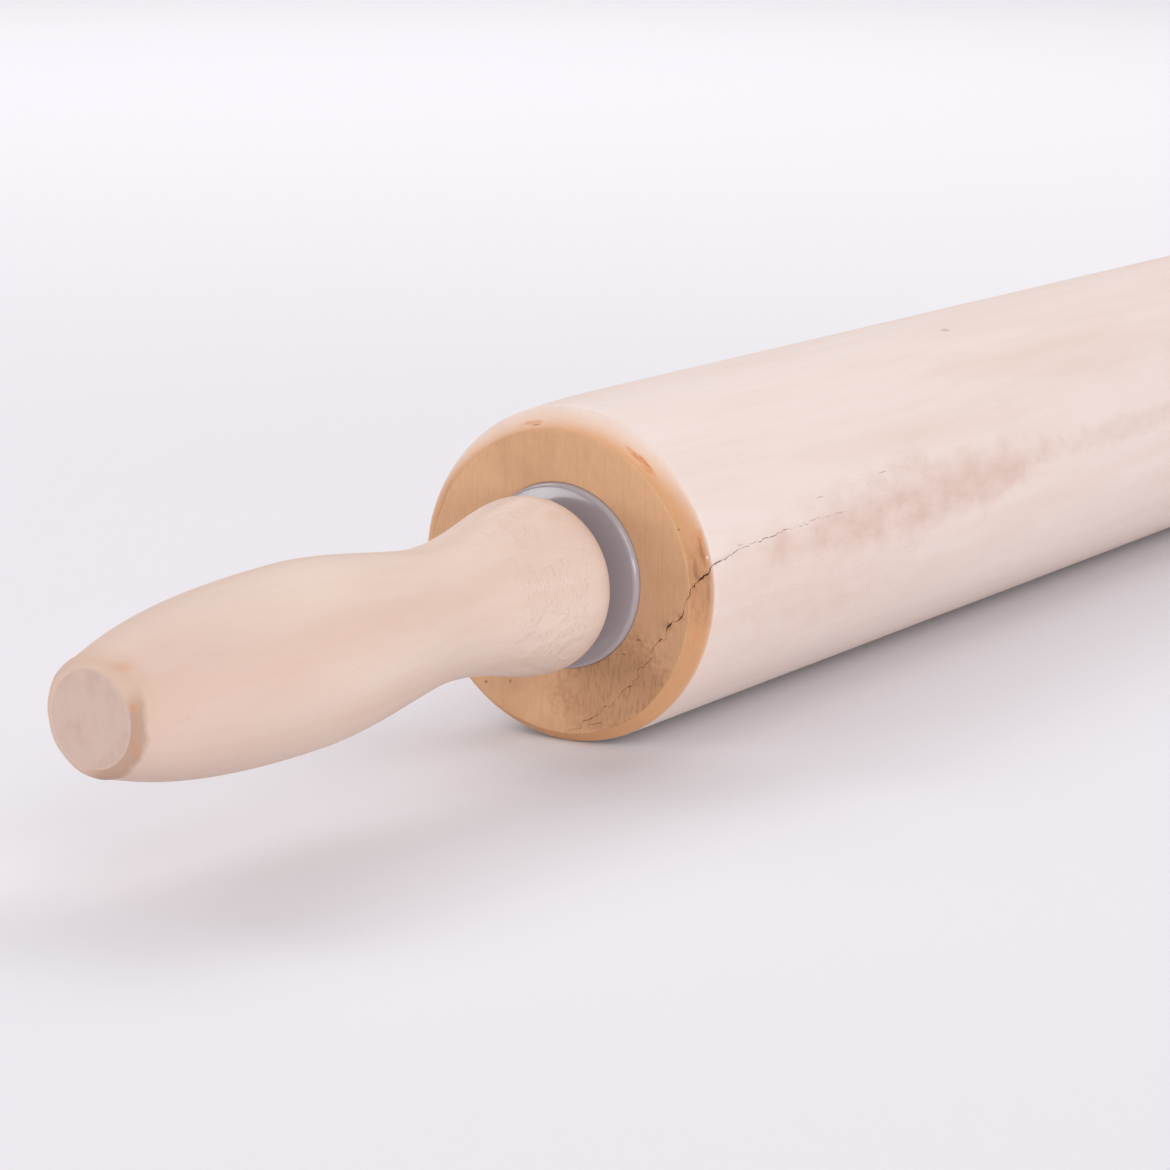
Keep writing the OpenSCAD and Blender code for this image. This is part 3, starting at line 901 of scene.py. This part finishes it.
# %% Patches of torn fibres on the bead and in the hollow behind it
torn_patch = f.span(from_back, 3.0, 8.0) * f.span(from_back, 27.0, 18.0)
torn_patch *= f.span(f.noise(f.stretched(0.16, 0.22, 80)), 0.47, 0.60)
torn = f.noise(f.scaled(2.3, 0.9, 0.9), 2.0, 0.7, 0.4)
chatter = f.noise(f.scaled(2.6, 0.35, 0.35), 2.0)
wood = f.mix(f.span(torn, 0.58, 0.70) * torn_patch * 0.50, wood, HANDLE_STREAK)
handle_wood = f.surface(
    Base_Color=wood,
    Roughness=0.50 + fibres * 0.18,
    Normal=f.bump(torn * torn_patch + chatter * torn_patch * 0.5, 0.16, 1.0,
                  over=f.bump(fibres + flecks * -0.5, 0.04, 0.5)))

# %% [markdown]
# ## Plastic and steel
# The bush is glossy grey plastic, straight from its mould: one colour with the faintest mottle, a slight
# orange-peel ripple, and hair scratches where it has rubbed. Its flange's outer rim is painted paler, as a
# painted highlight. The rod is drawn steel, so its fine lines run along it. The washers are stamped and
# tumbled, and their fine lines run round them.

# %% Bush finish
PLASTIC_GREY, PLASTIC_MOTTLE_AND_HIGHLIGHT = (0.296, 0.258, 0.272), (0.410, 0.365, 0.380)
f = Finish("moulded_plastic")
radius = f.radius()
ripple = f.noise(f.scaled(0.5, 0.5, 0.5), 2.0)
hairs = f.noise(f.joined(radius * 6.0, f.y * 0.08, f.z * 0.08), 3.0)
scuffed = f.span(f.noise(f.scaled(0.2, 0.2, 0.2), 2.0), 0.45, 0.7)
# Painted highlight: the flange's outer rim, from radius 12.9 to 13.6 mm, is painted paler; elsewhere the
# paler colour is only mottle.
rim_highlight = f.span(radius, 12.9, 13.6)
bush_plastic = f.surface(
    Base_Color=f.mix(rim_highlight * 0.55 + ripple * 0.15, PLASTIC_GREY, PLASTIC_MOTTLE_AND_HIGHLIGHT),
    Roughness=0.13 + scuffed * 0.06 + f.span(hairs, 0.55, 0.75) * 0.05,
    Normal=f.bump(hairs * 0.15 + ripple, 0.02, 0.5),
    IOR=1.5)

# %% Steel finishes
STEEL, STEEL_DARK = (0.620, 0.620, 0.630), (0.440, 0.435, 0.440)
f = Finish("drawn_steel")
lines = f.noise(f.stretched(0.05, 5.0), 4.0, 0.7)
smudge = f.noise(f.stretched(0.08, 0.2, 4), 2.0)
rod_steel = f.surface(
    Base_Color=f.mix(f.span(smudge, 0.4, 0.8), STEEL, STEEL_DARK), Metallic=1.0,
    Roughness=0.24 + lines * 0.22, Normal=f.bump(lines, 0.02, 0.5))

f = Finish("stamped_steel")
radius = f.radius()
rounds = f.noise(f.joined(radius * 7.0, f.y * 0.1, f.z * 0.1), 4.0, 0.7)
nicks = f.noise(f.scaled(1.4, 1.4, 1.4), 3.0)
dulled = f.span(nicks, 0.5, 0.8) + f.span(radius, 7.4, 8.0) * 0.3
washer_steel = f.surface(
    Base_Color=f.mix(dulled, STEEL, STEEL_DARK), Metallic=1.0,
    Roughness=0.20 + rounds * 0.25, Normal=f.bump(rounds + nicks * 0.3, 0.02, 0.5))

# %% [markdown]
# ## Putting the finishes on
# A finish shows once it is in a slot of a piece. A CAD node keeps its mesh, and only its material changes.
# The order of the barrel's two slots matters, because the faces in the crack ask for the second one.

# %% Give each piece its finish
def paint(piece, *materials):
    """Puts materials in the slots of a piece, in order."""
    piece.data.materials.clear()
    for material in materials:
        piece.data.materials.append(material)
    print(piece.name, "wears", [material.name for material in materials])


paint(barrel, barrel_wood, torn_wood)
for piece in handles:
    paint(piece, handle_wood)
for piece in bushes:
    paint(piece, bush_plastic)
paint(nodes["axle_rod"], rod_steel)
for node in ("washer_left", "washer_right"):
    paint(nodes[node], washer_steel)

# %% [markdown]
# ## The studio
# The pin lies on a wide pale sheet whose rim rises all round, so that no horizon shows from any side. A
# soft, slightly pink dome gives light from everywhere. A panel behind the pin and one overhead throw the
# handle's two faint shadows, and a high one and a long low one in front light what the camera sees. One
# more, far behind, brightens the background. The glossy bush mirrors a small card behind the left handle
# as its bright patch, and the card's beam is narrow, so that it lights little else.

# %% Floor
FLOOR_R, COVE_R, COVE_H = 2.6, 4.4, 1.7       # metres: where the rise begins and ends, and how high it goes
COVE_STEPS, SHEET_AROUND = 12, 96
SHEET_COLOUR = (0.775, 0.762, 0.794, 1)
rise = [k * math.pi / 2 / COVE_STEPS for k in range(1, COVE_STEPS + 1)]
sheet_outline = [(0, 0, 0), (FLOOR_R, 0, 0)] + [
    (FLOOR_R + (COVE_R - FLOOR_R) * math.sin(angle), 0, COVE_H * (1 - math.cos(angle))) for angle in rise]
floor_bm = spun(sheet_outline, (0, 0, 0), (0, 0, 1), SHEET_AROUND, closed=False)
f = Finish("studio_sheet")
floor = as_object(floor_bm, "studio_floor", [f.surface(Base_Color=SHEET_COLOUR, Roughness=0.9)])
print("the sheet is", 2 * COVE_R, "m wide")

# %% Lights
DOME_STRENGTH, DOME_COLOUR = 0.465, (1.0, 0.900, 0.915, 1)
PANEL_COLOUR = (0.960, 1, 1.01)


def panel(name, place, aim, size, watts, spread=180):
    """A soft light of size metres, at a place in mm, aimed at another. The spread is in degrees."""
    light = bpy.data.lights.new(name, "AREA")
    light.shape, light.size, light.size_y = "RECTANGLE", size[0], size[1]
    light.energy, light.color, light.spread = watts, PANEL_COLOUR, math.radians(spread)
    made = bpy.data.objects.new(name, light)
    made.location = Vector(place) * MM
    made.rotation_euler = ((Vector(aim) - Vector(place)) * MM).to_track_quat("-Z", "Y").to_euler()
    made.visible_camera = False
    bpy.context.scene.collection.objects.link(made)
    print(name, "gives", watts, "W from", round((Vector(aim) - Vector(place)).length * MM, 2), "m")


dome = bpy.data.worlds.new("dome")
dome.use_nodes = True
sky = dome.node_tree.nodes["Background"]
sky.inputs["Color"].default_value = DOME_COLOUR
sky.inputs["Strength"].default_value = DOME_STRENGTH
bpy.context.scene.world = dome
panel("back_panel", (-420, 1500, 1500), (-150, 0, 0), (0.9, 0.7), 7)
panel("top_panel", (900, -350, 1500), (-100, 0, 0), (0.8, 0.8), 5)
panel("front_panel", (-1050, -1350, 1050), (-120, 0, 20), (1.2, 0.8), 10)
panel("low_panel", (-900, -1700, 260), (-60, 0, 20), (1.6, 0.4), 15)
panel("sweep_panel", (1330, 1140, 1800), (1430, 1240, 0), (2.0, 2.0), 29)
panel("bush_card", (-601, 392, 105), (-125, 0, 30), (0.46, 0.18), 0.14, spread=50)
bpy.context.scene.view_settings.view_transform = "Standard"
